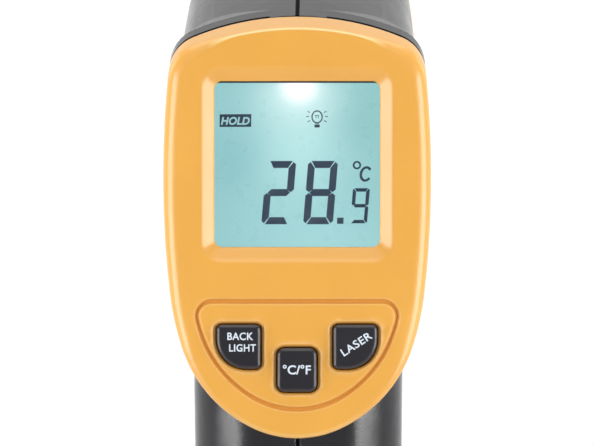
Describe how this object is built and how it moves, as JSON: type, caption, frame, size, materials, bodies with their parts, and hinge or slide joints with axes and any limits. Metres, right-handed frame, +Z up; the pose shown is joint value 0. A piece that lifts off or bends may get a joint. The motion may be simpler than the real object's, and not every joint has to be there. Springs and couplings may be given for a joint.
{
  "type": "infrared thermometer",
  "caption": "Pistol-grip non-contact thermometer with a tilted orange display bezel, backlit screen, three keys, trigger, nose cone and a battery door in the handle.",
  "frame": {"origin": "centre of the flat base under the handle", "axes": "+Z up, +Y the way the nose aims, +X to the right of the person who holds it; the display faces -Y and leans back 20 degrees"},
  "size_m": [0.043, 0.1005, 0.1519],
  "materials": {
    "black_shell": "satin black, fine grain",
    "orange_plastic": "satin orange",
    "black_key": "matt black",
    "screw_steel": "plain steel",
    "clear_window": "clear",
    "lcd_glass": "pale cyan lit display",
    "diffuser_white": "white",
    "lit_led": "white",
    "contact_rubber": "grey silicone",
    "circuit_board": "green solder mask",
    "chip_black": "moulded black",
    "plunger_black": "black",
    "plug_white": "off-white",
    "cone_black": "matt black",
    "lens_dark": "dark polished",
    "bright_metal": "nickel plated",
    "laser_brass": "turned brass",
    "cell_sleeve": "printed sleeve, plain",
    "wire_red": "red insulation",
    "wire_black": "black insulation",
    "cable_grey": "grey sheath"
  },
  "bodies": {
    "housing": {"backlight_diffuser": "diffuser_white", "backlight_led": "lit_led", "battery_cell_down": "cell_sleeve", "battery_cell_up": "cell_sleeve", "battery_tray": "cone_black", "battery_wire_black": "wire_black", "battery_wire_red": "wire_red", "board_chips": "chip_black", "board_screws": "screw_steel", "button_switches": "chip_black", "case_screws": "screw_steel", "contact_plates": "bright_metal", "contact_springs": "bright_metal", "contact_strip": "contact_rubber", "display_bezel": "orange_plastic", "display_board": "circuit_board", "door_pin": "screw_steel", "ir_lens": "lens_dark", "laser_module": "laser_brass", "laser_window": "clear_window", "laser_wire_black": "wire_black", "laser_wire_red": "wire_red", "lcd_panel": "lcd_glass", "lcd_window": "clear_window", "left_shell": "black_shell", "left_side_panel": "orange_plastic", "nose_ring": "black_shell", "processor": "chip_black", "right_shell": "black_shell", "right_side_panel": "orange_plastic", "sensor_board": "circuit_board", "sensor_cable": "cable_grey", "sensor_cone": "cone_black", "sensor_tube": "cone_black", "switch_wires": "wire_black", "thermopile_sensor": "bright_metal", "trigger_board": "circuit_board", "trigger_spring": "bright_metal", "trigger_switch": "chip_black", "wire_plugs": "plug_white"},
    "door": {"battery_door": "black_shell"},
    "trigger": {"trigger": "orange_plastic"},
    "backlight_key": {"backlight_button": "black_key", "backlight_plunger": "plunger_black"},
    "units_key": {"units_button": "black_key", "units_plunger": "plunger_black"},
    "laser_key": {"laser_button": "black_key", "laser_plunger": "plunger_black"}
  },
  "joints": [
    {"name": "backlight_press", "type": "slide", "parent": "housing", "child": "backlight_key", "axis": [0, 0.9397, -0.342], "range_m": [0, 0.0004], "stiffness_N_per_m": 1800, "springref_m": -0.0003},
    {"name": "units_press", "type": "slide", "parent": "housing", "child": "units_key", "axis": [0, 0.9397, -0.342], "range_m": [0, 0.0004], "stiffness_N_per_m": 1800, "springref_m": -0.0003},
    {"name": "laser_press", "type": "slide", "parent": "housing", "child": "laser_key", "axis": [0, 0.9397, -0.342], "range_m": [0, 0.0004], "stiffness_N_per_m": 1800, "springref_m": -0.0003},
    {"name": "trigger_pull", "type": "slide", "parent": "housing", "child": "trigger", "axis": [0, -1, 0], "range_m": [0, 0.0035], "stiffness_N_per_m": 450, "springref_m": -0.003, "deforming": ["trigger_spring"]},
    {"name": "battery_door_hinge", "type": "hinge", "parent": "housing", "child": "door", "pos_m": [0, 0.0124, 0.0037], "axis": [-1, 0, 0], "range_deg": [0, 75]}
  ]
}
